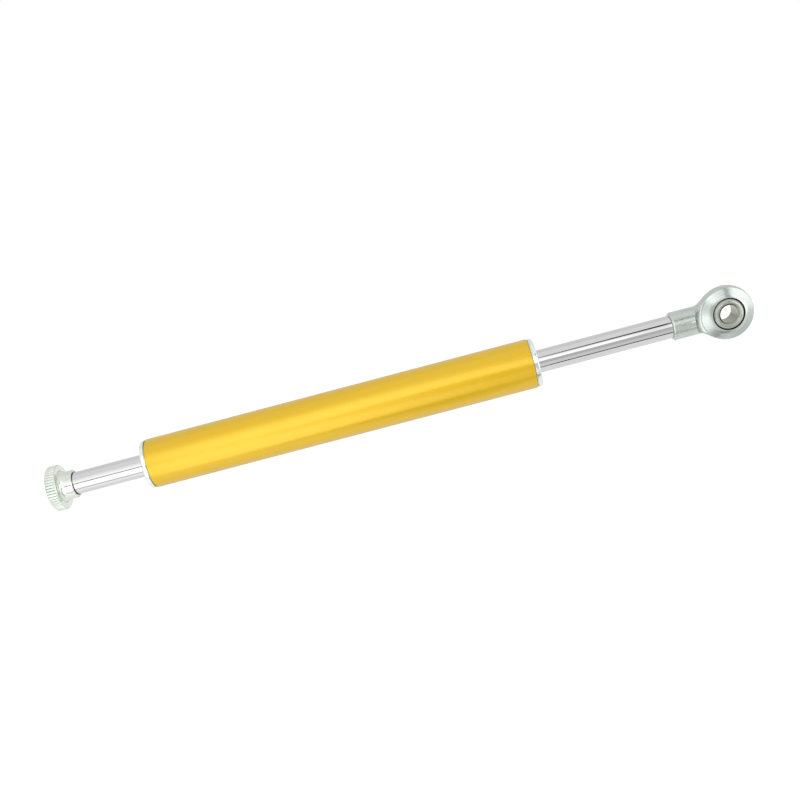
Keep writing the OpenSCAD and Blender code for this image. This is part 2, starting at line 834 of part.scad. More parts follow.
barrel_tube();
end_cap();  // front_end_cap
at_rear() end_cap();  // rear_end_cap
cap_o_ring();  // front_cap_o_ring
at_rear() cap_o_ring();  // rear_cap_o_ring
wiper();  // front_wiper
at_rear() wiper();  // rear_wiper
rod_seal();  // front_rod_seal
at_rear() rod_seal();  // rear_rod_seal
seal_washer();  // front_seal_washer
at_rear() seal_washer();  // rear_seal_washer
guide_bush();  // front_guide_bush
at_rear() guide_bush();  // rear_guide_bush
bush_circlip();  // front_bush_circlip
at_rear() bush_circlip();  // rear_bush_circlip
piston();
piston_ring();
piston_o_ring();
piston_rod();
piston_washers();
piston_circlips();
rod_end_housing();
rod_end_race();
rod_end_ball();
adjuster_knob();
knob_snap_ring();
adjuster_needle();
needle_o_ring();
click_balls();
click_springs();
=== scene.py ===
"""Looks of a motorcycle steering damper: a gold tube with polished caps, a chromed rod that runs
right through it, a knurled knob on one end of the rod and a rod end on the other."""

import json
import math

import bpy
import numpy as np
from mathutils import Matrix, Vector


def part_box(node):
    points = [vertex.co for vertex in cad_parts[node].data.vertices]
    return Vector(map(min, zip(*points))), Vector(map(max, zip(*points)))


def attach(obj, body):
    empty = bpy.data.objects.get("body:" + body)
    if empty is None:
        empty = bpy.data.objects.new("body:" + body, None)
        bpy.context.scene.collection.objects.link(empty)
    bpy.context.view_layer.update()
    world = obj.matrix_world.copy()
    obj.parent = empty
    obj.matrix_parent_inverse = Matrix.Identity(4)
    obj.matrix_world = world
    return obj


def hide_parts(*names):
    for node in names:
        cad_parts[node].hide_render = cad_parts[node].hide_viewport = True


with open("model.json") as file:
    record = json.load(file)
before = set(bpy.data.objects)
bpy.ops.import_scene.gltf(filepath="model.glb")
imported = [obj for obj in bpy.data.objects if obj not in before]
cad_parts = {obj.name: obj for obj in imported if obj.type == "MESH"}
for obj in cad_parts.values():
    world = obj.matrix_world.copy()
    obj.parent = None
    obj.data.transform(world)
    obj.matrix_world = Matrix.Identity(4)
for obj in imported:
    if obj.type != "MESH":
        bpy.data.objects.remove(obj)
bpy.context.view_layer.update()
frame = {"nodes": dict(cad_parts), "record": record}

# Lengths are in millimetres in the CAD model's frame: X along the rod, the rod end's bolt along Y.
MM = 0.001

# Steps round a turned piece, round a small one, along a rounded corner, a chamfer and a sphere
FINE = 256
COARSE = 96
CORNER_STEPS = 8
CHAMFER_STEPS = 5
RACE_STEPS = 40
BALL_STEPS = 60
# Run of flat metal beside a rounded corner that holds its shading
SHOULDER = 0.05
# Steepest angle that still shades as one smooth surface, on turned pieces and on the forging
SMOOTH_ANGLE = 34
FORGING_SMOOTH_ANGLE = 60
# How far a cutter reaches past the metal
PAST = 1.0


def reach(node):
    """A CAD node's lowest and highest corners at rest, in millimetres."""
    low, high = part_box(node)
    return np.array(low) / MM, np.array(high) / MM


# Clearances of the CAD model
SEAT_GAP = 0.03
RUN_GAP = 0.05

# Barrel tube
tube_end = reach("barrel_tube")[1][0]
tube_r = reach("barrel_tube")[1][2]
TUBE_WALL = 2.0
TUBE_CHAMFER = 0.3
TUBE_EDGE = 0.1
bore_r = tube_r - TUBE_WALL

# End caps
cap_in, cap_face = reach("front_end_cap")[0][0], reach("front_end_cap")[1][0]
flange_r = reach("front_end_cap")[1][2]
FLANGE_ROUND = 0.9
SEAM_W = 0.35
SEAM_DEPTH = 0.8
SEAM_EDGE = 0.1
SPIGOT_WALL = 1.7
WEB_LEN = 5.0
WEB_GAP = 0.25
CAP_GROOVE_W = 2.3
CAP_CORD = 1.8
CLIP_GROOVE_BITE = 0.8
CLIP_GAP = 0.05
POCKET_EDGE = 0.2
SPANNER_HOLE_R = 0.8
SPANNER_HOLE_DEPTH = 1.4
spigot_r = bore_r - SEAT_GAP
packing_r = spigot_r - SPIGOT_WALL
cap_groove_r = bore_r - CAP_CORD - 2 * SEAT_GAP

# Wipers
wiper_in = reach("front_wiper")[0][0]
wiper_r = reach("front_wiper")[1][2]
WIPER_EDGE = 0.12

# Piston rod
rod_rear, stud_end = reach("piston_rod")[0][0], reach("piston_rod")[1][0]
rod_r = reach("piston_rod")[1][2]
ROD_CHAMFER = 0.3
ROD_EDGE = 0.1
STUD_R = 3.97
ROD_CLIP_BITE = 0.5
ROD_CLIP_T = 1.0
NEEDLE_BORE_R = 2.05
ORIFICE_R = 1.1
ORIFICE_X = 4.0
ORIFICE_END = 30.35
PORT_R = 0.9
PORT_FROM_CLIP = 3.0
CLICK_HOLE_R = 0.85
rod_run_r = rod_r + RUN_GAP

# Knob
knob_out, neck_end = reach("adjuster_knob")[0][0], reach("adjuster_knob")[1][0]
knob_r = reach("adjuster_knob")[1][2]
DISC_T = 4.6
DISC_CHAMFER = 0.5
DISH_R = 6.5
DISH_DEPTH = 0.5
DISH_ROUND = 0.25
NECK_WALL = 1.25
NECK_FILLET = 2.2
NECK_CHAMFER = 0.3
NECK_EDGE = 0.1
MOUTH_GAP = 0.5
MOUTH_DEPTH = 1.4
KNOB_END_GAP = 0.2
KNURL_TEETH = 48
KNURL_DEPTH = 0.35
KNURL_GROOVE = 0.25
KNURL_SAMPLES = 12
SNAP_BITE = 0.5
DRIVE_W = 2.5
DRIVE_FLOOR_T = 0.6
CLICK_COUNT = 8
CLICK_BALL_R = 0.8
CLICK_DIMPLE = 0.2
disc_in = knob_out + DISC_T
knob_floor = rod_rear - KNOB_END_GAP
neck_r = rod_run_r + NECK_WALL
mouth_r = rod_r + MOUTH_GAP

# Rod end
shank_end, head_tip = reach("rod_end_housing")[0][0], reach("rod_end_housing")[1][0]
head_r = reach("rod_end_housing")[1][2]
head_half = reach("rod_end_race")[1][1]
eye_x = head_tip - head_r
SHANK_STEP = 1.2
SHANK_ROUND = 0.8
NECK_FLARE = 3.35
NECK_IN = 5.2
NECK_EASE = 0.6
HEAD_CROWN = 7.1
FACING_FLAT = 0.2
FACING_FALL = 1.75
FACING_OVER = 0.1
FACING_COVE = 3.7
FORGING_BLEND = 0.8
FACING_EDGE = 0.14
COVE_EDGE = 0.7
STUD_ROOM = 1.0
# Rings along the rod end's shank, neck and head, and the angle about the eye where the head's begin
SHANK_RINGS = 4
NECK_RINGS = 90
HEAD_RINGS = 190
HEAD_START = -68
# Spokes in each ring, how much closer they stand at the head's top and foot, and halvings of a radius
FORGING_SPOKES = 320
SPOKE_CROWDING = 2
HALVINGS = 48
shank_r = rod_r + SHANK_STEP
neck_x = eye_x - head_r
facing_rim = head_half - FACING_FALL
crown_edge_r = head_r - HEAD_CROWN + math.sqrt(HEAD_CROWN**2 - facing_rim**2)
facing_r = crown_edge_r + FACING_OVER

# Race and ball
race_r = reach("rod_end_race")[1][2]
RACE_WALL = 0.8
RACE_CHAMFER = 0.5
ball_r = reach("rod_end_ball")[1][2]
ball_half = reach("rod_end_ball")[1][1]
BALL_BORE_R = 4.0
BALL_CHAMFER = 0.8
BALL_EDGE = 0.1
race_seat_r = race_r + SEAT_GAP
race_in_r = race_r - RACE_WALL
mouth_of_race_r = math.sqrt(race_in_r**2 - head_half**2) + RACE_CHAMFER
facing_flat_r = mouth_of_race_r + FACING_FLAT


def solid(name, points, faces, smooth_angle=SMOOTH_ANGLE):
    """Puts points and faces, given as arrays of quads and of triangles, into a mesh object.
    The volume under the faces is summed, and all of them are turned round where it comes out negative."""
    triangles = np.concatenate([f[:, [0, k, k + 1]] for f in faces for k in range(1, f.shape[1] - 1)])
    a, b, c = (points[triangles[:, k]] for k in range(3))
    if np.einsum("ij,ij->", a, np.cross(b, c)) < 0:
        faces = [f[:, ::-1] for f in faces]
    sizes = np.concatenate([np.full(len(f), f.shape[1]) for f in faces])
    corners = np.concatenate([f.ravel() for f in faces])
    mesh = bpy.data.meshes.new(name)
    mesh.vertices.add(len(points))
    mesh.vertices.foreach_set("co", (points * MM).ravel())
    mesh.loops.add(len(corners))
    mesh.loops.foreach_set("vertex_index", corners)
    mesh.polygons.add(len(sizes))
    mesh.polygons.foreach_set("loop_start", np.cumsum(sizes) - sizes)
    mesh.update(calc_edges=True)
    mesh.shade_smooth()
    mesh.set_sharp_from_angle(angle=math.radians(smooth_angle))
    piece = bpy.data.objects.new(name, mesh)
    bpy.context.scene.collection.objects.link(piece)
    return piece


def even_angles(count):
    """Equal steps round a full turn."""
    return np.arange(count) * 2 * math.pi / count


def turned(name, stations, radii, angles=None, axis="X", centre=(0, 0, 0), smooth_angle=SMOOTH_ANGLE):
    """A surface turned on a lathe. Each station along the axis carries a ring of points, at
    centre + station * axis + radius * (cos(angle) * side + sin(angle) * up), and neighbouring rings
    are joined by quads. Radii are one per station, or one per station and angle. Where the first and
    last radius are nought the ring there is one pole point; otherwise the last ring joins the first,
    so that the section is closed."""
    angles = even_angles(FINE) if angles is None else angles
    stations = np.asarray(stations, float)
    rows, columns = len(stations), len(angles)
    radii = np.broadcast_to(np.asarray(radii, float).reshape(rows, -1), (rows, columns))
    frame_axes = np.roll(np.eye(3), -"XYZ".index(axis), axis=0)
    spokes = np.cos(angles)[:, None] * frame_axes[1] + np.sin(angles)[:, None] * frame_axes[2]
    rings = np.array(centre) + stations[:, None, None] * frame_axes[0] + radii[:, :, None] * spokes
    poles = radii[0].max() == 0 and radii[-1].max() == 0
    first = 1 if poles else 0
    last = rows - 1 if poles else rows
    ring_ids = np.arange((last - first) * columns).reshape(-1, columns)
    here = ring_ids[:-1] if poles else ring_ids
    there = ring_ids[1:] if poles else np.roll(ring_ids, -1, axis=0)
    there_next = np.roll(there, -1, axis=1)
    here_next = np.roll(here, -1, axis=1)
    quads = np.stack([here, there, there_next, here_next], -1).reshape(-1, 4)
    points = rings[first:last].reshape(-1, 3)
    faces = [quads]
    if poles:
        start, stop = len(points), len(points) + 1
        points = np.concatenate([points, rings[0, :1], rings[-1, :1]])
        near, far = ring_ids[0], ring_ids[-1]
        faces.append(np.stack([np.full(columns, start), near, np.roll(near, -1)], -1))
        faces.append(np.stack([np.full(columns, stop), np.roll(far, -1), far], -1))
    return solid(name, points, faces, smooth_angle)


def outline(*corners):
    """A section through corners (station, radius), each of which may give the radius of its round as
    a third number. A rounded corner becomes the arc that touches both its sides, with a short
    shoulder on either side. At a share of the turn from one spoke to the other, the arc's point is
    middle + (sin((1 - share) * turn) * spoke + sin(share * turn) * other spoke) / sin(turn)."""
    places = np.array([corner[:2] for corner in corners], float)
    path = []
    for k, corner in enumerate(corners):
        if len(corner) == 2:
            path.append(places[k][None])
            continue
        sides = np.array([places[k - 1] - places[k], places[(k + 1) % len(corners)] - places[k]])
        sides /= np.linalg.norm(sides, axis=1)[:, None]
        half = math.acos(np.clip(sides[0] @ sides[1], -1, 1)) / 2
        touch = corner[2] / math.tan(half)
        middle = places[k] + (sides[0] + sides[1]) / (2 * math.cos(half)) * corner[2] / math.sin(half)
        spokes = places[k] + sides * touch - middle
        turn = math.pi - 2 * half
        share = np.linspace(0, 1, CORNER_STEPS + 1)[:, None]
        leaving = np.sin((1 - share) * turn) * spokes[0]
        arriving = np.sin(share * turn) * spokes[1]
        arc = middle + (leaving + arriving) / math.sin(turn)
        shoulders = places[k] + sides * (touch + SHOULDER)
        path.append(np.concatenate([shoulders[:1], arc, shoulders[1:]]))
    return np.concatenate(path)


def sphere_run(radius, start, stop, steps):
    """Corners of a section along a sphere about the origin, from one station to another, with
    station = R * sin(angle) and radius = R * cos(angle)."""
    angles = np.linspace(math.asin(start / radius), math.asin(stop / radius), steps)
    return [(radius * math.sin(a), radius * math.cos(a)) for a in angles]


def bar(start, stop, radius, axis="X", centre=(0, 0, 0), count=COARSE):
    """A plain round cutter between two stations of an axis."""
    stations = [start, start, stop, stop]
    return turned("cutter", stations, [0, radius, radius, 0], even_angles(count), axis, centre)


def cut(piece, cutters, smooth_angle=SMOOTH_ANGLE):
    """Takes the cutters' solids out of a piece for good, and removes the cutters."""
    for cutter in cutters:
        change = piece.modifiers.new("cut", "BOOLEAN")
        change.operation = "DIFFERENCE"
        change.solver = "MANIFOLD"
        change.object = cutter
    bpy.context.view_layer.update()
    done = piece.evaluated_get(bpy.context.evaluated_depsgraph_get())
    mesh = bpy.data.meshes.new_from_object(done)
    piece.modifiers.clear()
    piece.data = mesh
    mesh.shade_smooth()
    mesh.set_sharp_from_angle(angle=math.radians(smooth_angle))
    for cutter in cutters:
        bpy.data.objects.remove(cutter)
    return piece


def barrel_tube():
    """The tube's wall, turned: outside, chamfered ends and bore."""
    section = outline(
        (-tube_end, bore_r),
        (-tube_end, tube_r - TUBE_CHAMFER, TUBE_EDGE),
        (-tube_end + TUBE_CHAMFER, tube_r, TUBE_EDGE),
        (tube_end - TUBE_CHAMFER, tube_r, TUBE_EDGE),
        (tube_end, tube_r - TUBE_CHAMFER, TUBE_EDGE),
        (tube_end, bore_r),
    )
    return turned("gold_barrel_tube", section[:, 0], section[:, 1])


def end_cap(name, side, ring_node, clip_node):
    """An end cap, turned: spigot with its O-ring groove, seam, rounded flange, wiper pocket, web and
    packing bore. Two pin spanner holes are drilled in its face."""
    ring = np.abs([corner[0] for corner in reach(ring_node)]).mean()
    clip = np.sort(np.abs([corner[0] for corner in reach(clip_node)]))
    groove = ring - CAP_GROOVE_W / 2, ring + CAP_GROOVE_W / 2
    clip_groove = clip[0] - CLIP_GAP, clip[1] + CLIP_GAP
    clip_groove_r = packing_r + CLIP_GROOVE_BITE
    seam_r = flange_r - SEAM_DEPTH
    pocket_r = wiper_r + SEAT_GAP
    pocket_in = wiper_in - SEAT_GAP
    packing_in = pocket_in - WEB_LEN
    web_r = rod_r + WEB_GAP
    section = outline(
        (cap_in, packing_r),
        (cap_in, spigot_r),
        (groove[0], spigot_r),
        (groove[0], cap_groove_r),
        (groove[1], cap_groove_r),
        (groove[1], spigot_r),
        (tube_end + SEAT_GAP, spigot_r),
        (tube_end + SEAT_GAP, seam_r),
        (tube_end + SEAM_W, seam_r),
        (tube_end + SEAM_W, flange_r, SEAM_EDGE),
        (cap_face, flange_r, FLANGE_ROUND),
        (cap_face, pocket_r, POCKET_EDGE),
        (pocket_in, pocket_r),
        (pocket_in, web_r),
        (packing_in, web_r),
        (packing_in, packing_r),
        (clip_groove[1], packing_r),
        (clip_groove[1], clip_groove_r),
        (clip_groove[0], clip_groove_r),
        (clip_groove[0], packing_r),
    )
    cap = turned(name, side * section[:, 0], section[:, 1])
    spanner_circle_r = (pocket_r + flange_r) / 2
    drilled = side * (cap_face - SPANNER_HOLE_DEPTH), side * (cap_face + PAST)
    holes = [
        bar(*drilled, SPANNER_HOLE_R, centre=(0, 0, z))
        for z in (-spanner_circle_r, spanner_circle_r)
    ]
    return cut(cap, holes)


def wiper(name, side):
    """A rubber wiper, turned: a ring with a hollow between its outer wall and the lip that leans on
    the rod. The wall is a quarter of the ring's width, and the hollow a third of its depth."""
    wall = (wiper_r - rod_run_r) / 4
    hollow = cap_face - (cap_face - wiper_in) / 3
    section = outline(
        (wiper_in, rod_run_r),
        (wiper_in, wiper_r),
        (cap_face, wiper_r, WIPER_EDGE),
        (cap_face, wiper_r - wall, WIPER_EDGE),
        (hollow, wiper_r - wall, WIPER_EDGE),
        (hollow, rod_run_r + 2 * wall, WIPER_EDGE),
        (cap_face, rod_run_r + wall, WIPER_EDGE),
        (cap_face, rod_run_r, WIPER_EDGE),
    )
    return turned(name, side * section[:, 0], section[:, 1])


def groove_corners(start, stop, depth_r, outer_r):
    """The four corners of a square groove in a shaft, from its front side to its rear side."""
    return [(stop, outer_r), (stop, depth_r), (start, depth_r), (start, outer_r)]


def piston_rod():
    """The rod, turned from its front stud to its hollow rear end, with the grooves of its rings.
    The two cross ports beside the piston and the two holes of the click balls are drilled."""
    clips = reach("piston_circlips")
    snap = reach("knob_snap_ring")
    shoulder = shank_end - SEAT_GAP
    clip_r = rod_r - ROD_CLIP_BITE
    rear_clip = clips[0][0] - CLIP_GAP, clips[0][0] + ROD_CLIP_T + CLIP_GAP
    front_clip = clips[1][0] - ROD_CLIP_T - CLIP_GAP, clips[1][0] + CLIP_GAP
    section = outline(
        (stud_end, 0),
        (stud_end, STUD_R - ROD_CHAMFER),
        (stud_end - ROD_CHAMFER, STUD_R),
        (shoulder, STUD_R),
        (shoulder, rod_r, ROD_EDGE),
        *groove_corners(*front_clip, clip_r, rod_r),
        *groove_corners(*rear_clip, clip_r, rod_r),
        *groove_corners(snap[0][0] - CLIP_GAP, snap[1][0] + CLIP_GAP, clip_r, rod_r),
        (rod_rear + ROD_CHAMFER, rod_r, ROD_EDGE),
        (rod_rear, rod_r - ROD_CHAMFER, ROD_EDGE),
        (rod_rear, NEEDLE_BORE_R),
        (ORIFICE_X, NEEDLE_BORE_R),
        (ORIFICE_X, ORIFICE_R),
        (ORIFICE_END, ORIFICE_R),
        (ORIFICE_END, 0),
    )
    rod = turned("chromed_piston_rod", section[:, 0], section[:, 1])
    ports = [
        bar(-rod_r - PAST, rod_r + PAST, PORT_R, "Z", (x, 0, 0))
        for x in (clips[0][0] - PORT_FROM_CLIP, clips[1][0] + PORT_FROM_CLIP)
    ]
    click_end = reach("click_springs")[1][0] + SEAT_GAP
    click_circle_r = reach("click_balls")[1][2] - CLICK_BALL_R
    click_holes = [
        bar(rod_rear - PAST, click_end, CLICK_HOLE_R, centre=(0, 0, z))
        for z in (-click_circle_r, click_circle_r)
    ]
    return cut(rod, ports + click_holes)


def knurl(angles):
    """Radius of the knurl at each angle: full along a tooth, and down by the groove's depth in a
    straight V between two teeth."""
    phase = np.abs((angles * KNURL_TEETH / (2 * math.pi) + 0.5) % 1 - 0.5)
    return knob_r - KNURL_DEPTH * np.clip((phase - 0.5 + KNURL_GROOVE) / KNURL_GROOVE, 0, 1)


def adjuster_knob():
    """The knob, turned from its dished outer face to the floor of its sleeve, with the knurl's radius
    as an upper limit at every angle. The square socket and the click dimples are cut in its floor."""
    snap = reach("knob_snap_ring")
    snap_r = rod_run_r + SNAP_BITE
    chamfer = np.linspace(0, DISC_CHAMFER, CHAMFER_STEPS)
    section = outline(
        (knob_out + DISH_DEPTH, 0),
        (knob_out + DISH_DEPTH, DISH_R, DISH_ROUND),
        (knob_out, DISH_R, DISH_ROUND / 2),
        *[(knob_out + c, knob_r - DISC_CHAMFER + c) for c in chamfer],
        *[(disc_in - c, knob_r - DISC_CHAMFER + c) for c in chamfer[::-1]],
        (disc_in, neck_r, NECK_FILLET),
        (neck_end - NECK_CHAMFER, neck_r, NECK_EDGE),
        (neck_end, neck_r - NECK_CHAMFER, NECK_EDGE),
        (neck_end, mouth_r, NECK_EDGE),
        (neck_end - MOUTH_DEPTH, mouth_r),
        (neck_end - MOUTH_DEPTH, rod_run_r),
        *groove_corners(snap[0][0] - SEAT_GAP, snap[1][0] + SEAT_GAP, snap_r, rod_run_r),
        (knob_floor, rod_run_r),
        (knob_floor, 0),
    )
    angles = even_angles(KNURL_TEETH * KNURL_SAMPLES)
    on_disc = (section[:, 0] <= disc_in) & (section[:, 1] > knob_r - DISC_CHAMFER - KNURL_DEPTH)
    limit = np.where(on_disc[:, None], knurl(angles), np.inf)
    knob = turned("knurled_adjuster_knob", section[:, 0], np.minimum(section[:, 1:], limit), angles)
    socket_start = knob_out + DISH_DEPTH + DRIVE_FLOOR_T
    square = even_angles(4) + math.pi / 4
    socket = turned(
        "cutter",
        [socket_start, socket_start, knob_floor + PAST, knob_floor + PAST],
        [0, DRIVE_W / math.sqrt(2), DRIVE_W / math.sqrt(2), 0],
        square,
    )
    click_circle_r = reach("click_balls")[1][2] - CLICK_BALL_R
    ball = np.array(sphere_run(CLICK_BALL_R, -CLICK_BALL_R, CLICK_BALL_R, COARSE // 4))
    ball[[0, -1], 1] = 0
    dimple_x = knob_floor - CLICK_DIMPLE + CLICK_BALL_R
    dimples = [
        turned(
            "cutter",
            ball[:, 0],
            ball[:, 1],
            even_angles(COARSE // 2),
            centre=(dimple_x, click_circle_r * math.cos(turn), click_circle_r * math.sin(turn)),
        )
        for turn in even_angles(CLICK_COUNT) + math.pi / 2
    ]
    return cut(knob, [socket] + dimples)


def soft_min(a, b, width):
    """The lesser of two fields, with the corner between them eased over a width."""
    share = np.clip(0.5 + (b - a) / (2 * width), 0, 1)
    return b + (a - b) * share - width * share * (1 - share)


def face_at(from_eye):
    """How far each faced side lies from the middle of the rod end: flat at the race's mouth, then
    falling evenly to the crown."""
    share = (from_eye - facing_flat_r) / (facing_r - facing_flat_r)
    return head_half - FACING_FALL * np.clip(share, 0, 1)


def forging(x, y, z):
    """How far a point lies outside the rod end, roughly in millimetres. The head is a ring with a
    crowned rim about the eye's axis, the shank a round bar about X that flares into the head, and the
    two are joined with an eased corner. Then both sides are faced, and each facing runs out to the
    shank in a hollow cove."""
    from_eye = np.hypot(x - eye_x, z)
    head = np.hypot(np.maximum(from_eye - head_r + HEAD_CROWN, 0), y) - HEAD_CROWN
    flare = -soft_min(0, (neck_x - x) * NECK_FLARE / NECK_IN, NECK_EASE)
    shank = np.maximum(np.hypot(y, z) - shank_r - np.minimum(flare, NECK_FLARE), x - eye_x)
    joined = soft_min(head, shank, FORGING_BLEND)
    run_out = np.clip(from_eye - facing_r, 0, FACING_COVE)
    facing = face_at(from_eye) + FACING_COVE - np.sqrt(FACING_COVE**2 - run_out**2)
    edge = np.interp(run_out, [0, FACING_COVE / 2], [FACING_EDGE, COVE_EDGE])
    return -soft_min(-joined, facing - np.abs(y), edge)


def rod_end_housing():
    """The rod end, as rings about X: at each station and angle the radius where the forging's field
    crosses nought is found by halving. The eye and the stud's hole are bored afterwards."""
    head_start = math.radians(HEAD_START)
    cove_end = eye_x - facing_r - FACING_COVE
    shank_rows = np.linspace(shank_end + 2 * SHANK_ROUND, cove_end, SHANK_RINGS)
    neck_rows = np.linspace(cove_end, eye_x + head_r * math.sin(head_start), NECK_RINGS)[1:]
    head_rows = eye_x + head_r * np.sin(np.linspace(head_start, math.pi / 2, HEAD_RINGS))[1:-1]
    stations = np.concatenate([shank_rows, neck_rows, head_rows])
    lean = even_angles(FORGING_SPOKES)
    angles = np.arctan2(SPOKE_CROWDING * np.sin(lean), np.cos(lean))
    x = stations[:, None]
    inside = np.zeros((len(stations), len(angles)))
    outside = np.full_like(inside, head_r + PAST)
    for _ in range(HALVINGS):
        middle = (inside + outside) / 2
        out = forging(x, middle * np.cos(angles), middle * np.sin(angles)) > 0
        inside = np.where(out, inside, middle)
        outside = np.where(out, middle, outside)
    end_corners = (shank_end, 0), (shank_end, shank_r, SHANK_ROUND), (shank_rows[0], inside[0].mean())
    end = outline(*end_corners)[:-1]
    end_radii = np.broadcast_to(end[:, 1:], (len(end), len(angles)))
    rows = np.concatenate([end[:, 0], stations, [head_tip]])
    radii = np.concatenate([end_radii, inside, np.zeros((1, len(angles)))])
    smooth_angle = FORGING_SMOOTH_ANGLE
    housing = turned("rod_end_housing_forging", rows, radii, angles, smooth_angle=smooth_angle)
    eye = bar(-head_half - PAST, head_half + PAST, race_seat_r, "Y", (eye_x, 0, 0), FINE)
    socket = bar(shank_end - PAST, stud_end + STUD_ROOM, STUD_R + SEAT_GAP)
    return cut(housing, [eye, socket], smooth_angle)


def rod_end_race():
    """The race, turned about the eye's axis: a ring faced like the housing, with the ball's sphere as
    its bore."""
    lip = head_half - RACE_CHAMFER
    rim = face_at(race_r)
    section = outline(
        (-head_half, mouth_of_race_r),
        (-head_half, facing_flat_r),
        (-rim, race_r),
        (rim, race_r),
        (head_half, facing_flat_r),
        (head_half, mouth_of_race_r),
        *sphere_run(race_in_r, lip, -lip, RACE_STEPS),
    )
    return turned("rod_end_bearing_race", section[:, 0], section[:, 1], axis="Y", centre=(eye_x, 0, 0))


def rod_end_ball():
    """The ball, turned about the eye's axis: a sphere cut flat on both sides, with a chamfered bore."""
    face_r = math.sqrt(ball_r**2 - ball_half**2)
    rim = ball_half - BALL_EDGE
    section = outline(
        (ball_half, face_r - BALL_EDGE),
        (ball_half, BALL_BORE_R + BALL_CHAMFER, BALL_EDGE),
        (ball_half - BALL_CHAMFER, BALL_BORE_R, BALL_EDGE),
        (-ball_half + BALL_CHAMFER, BALL_BORE_R, BALL_EDGE),
        (-ball_half, BALL_BORE_R + BALL_CHAMFER, BALL_EDGE),
        (-ball_half, face_r - BALL_EDGE),
        *sphere_run(ball_r, -rim, rim, BALL_STEPS),
    )
    return turned("rod_end_ball_joint", section[:, 0], section[:, 1], axis="Y", centre=(eye_x, 0, 0))


# Places of the factor, both colours and the result among the sockets of a node that mixes colours
MIX_FACTOR = 0
MIX_FIRST = 6
MIX_SECOND = 7
MIX_RESULT = 2


class Wire:
    """A node's output. An operator between wires and numbers adds the Math node that works it out."""

    def __init__(self, finish, socket):
        self.finish = finish
        self.socket = socket

    def beside(self, output):
        """Another output of the same node."""
        return Wire(self.finish, self.socket.node.outputs[output])

    def __add__(self, other):
        return self.finish.math("ADD", self, other)

    def __sub__(self, other):
        return self.finish.math("SUBTRACT", self, other)

    def __rsub__(self, other):
        return self.finish.math("SUBTRACT", other, self)

    def __mul__(self, other):
        return self.finish.math("MULTIPLY", self, other)

    def __pow__(self, other):
        return self.finish.math("POWER", self, other)

    __radd__ = __add__
    __rmul__ = __mul__


class Finish:
    """One material and the node tree that paints it."""

    def __init__(self, name):
        self.material = bpy.data.materials.new(name)
        self.material.use_nodes = True
        self.tree = self.material.node_tree
        self.tree.nodes.clear()

    def node(self, kind, settings=None, sockets=None, output=0):
        """Adds a node, gives it its settings and then the values or links of its sockets, and returns
        one of its outputs."""
        made = self.tree.nodes.new(kind)
        for name, value in (settings or {}).items():
            setattr(made, name, value)
        for name, value in (sockets or {}).items():
            if isinstance(value, Wire):
                self.tree.links.new(value.socket, made.inputs[name])
            else:
                made.inputs[name].default_value = value
        return Wire(self, made.outputs[output])

    def math(self, operation, a, b):
        """A Math node's result from two wires or numbers."""
        return self.node("ShaderNodeMath", {"operation": operation}, {0: a, 1: b})

    def place(self, centre=(0, 0, 0)):
        """The surface's own place in millimetres from a centre, as a vector."""
        metres = self.node("ShaderNodeTexCoord", output="Object")
        scaled = {0: metres, "Scale": 1 / MM}
        millimetres = self.node("ShaderNodeVectorMath", {"operation": "SCALE"}, scaled)
        return self.node("ShaderNodeVectorMath", {"operation": "SUBTRACT"}, {0: millimetres, 1: centre})

    def split(self, vector):
        """A vector's three parts."""
        x = self.node("ShaderNodeSeparateXYZ", sockets={0: vector})
        return x, x.beside(1), x.beside(2)

    def stretched(self, vector, factors):
        """A vector with each part multiplied."""
        return self.node("ShaderNodeVectorMath", {"operation": "MULTIPLY"}, {0: vector, 1: factors})

    def noise(self, vector, per_mm, detail=2.0, roughness=0.5):
        """Noise from 0 to 1 with about that many bumps to the millimetre."""
        return self.node(
            "ShaderNodeTexNoise",
            sockets={"Vector": vector, "Scale": per_mm, "Detail": detail, "Roughness": roughness},
        )

    def rings(self, along, per_mm, detail=2.0):
        """Noise from 0 to 1 that changes along one measure only, so that equal values lie on rings or
        lines."""
        return self.node(
            "ShaderNodeTexNoise",
            {"noise_dimensions": "1D"},
            {"W": along, "Scale": per_mm, "Detail": detail},
        )

    def ramp(self, value, start, stop, low=0.0, high=1.0):
        """A value carried smoothly from low at start to high at stop, and held beyond."""
        return self.node(
            "ShaderNodeMapRange",
            {"interpolation_type": "SMOOTHSTEP"},
            {"Value": value, "From Min": start, "From Max": stop, "To Min": low, "To Max": high},
        )

    def fall(self, value, start, stop):
        """A ramp from 1 at start down to 0 at stop."""
        return self.ramp(value, start, stop, 1.0, 0.0)

    def tint(self, factor, first, second):
        """A colour between two."""
        sockets = {MIX_FACTOR: factor, MIX_FIRST: first, MIX_SECOND: second}
        return self.node("ShaderNodeMix", {"data_type": "RGBA"}, sockets, MIX_RESULT)

    def bump(self, height, depth_mm):
        """A surface normal from a height of 0 to 1 over a depth."""
        return self.node("ShaderNodeBump", sockets={"Height": height, "Distance": depth_mm * MM})

    def surface(self, **sockets):
        """The finished surface: sockets are named as on the shader, with _ for a space."""
        named = {name.replace("_", " "): value for name, value in sockets.items()}
        shader = self.node("ShaderNodeBsdfPrincipled", sockets=named)
        self.end(shader)
        return self.material

    def end(self, shader):
        """Ends the tree in a shader."""
        made = self.tree.nodes.new("ShaderNodeOutputMaterial")
        self.tree.links.new(shader.socket, made.inputs["Surface"])


def rgb(r, g, b):
    """A colour for a socket, as linear light."""
    return (r, g, b, 1.0)


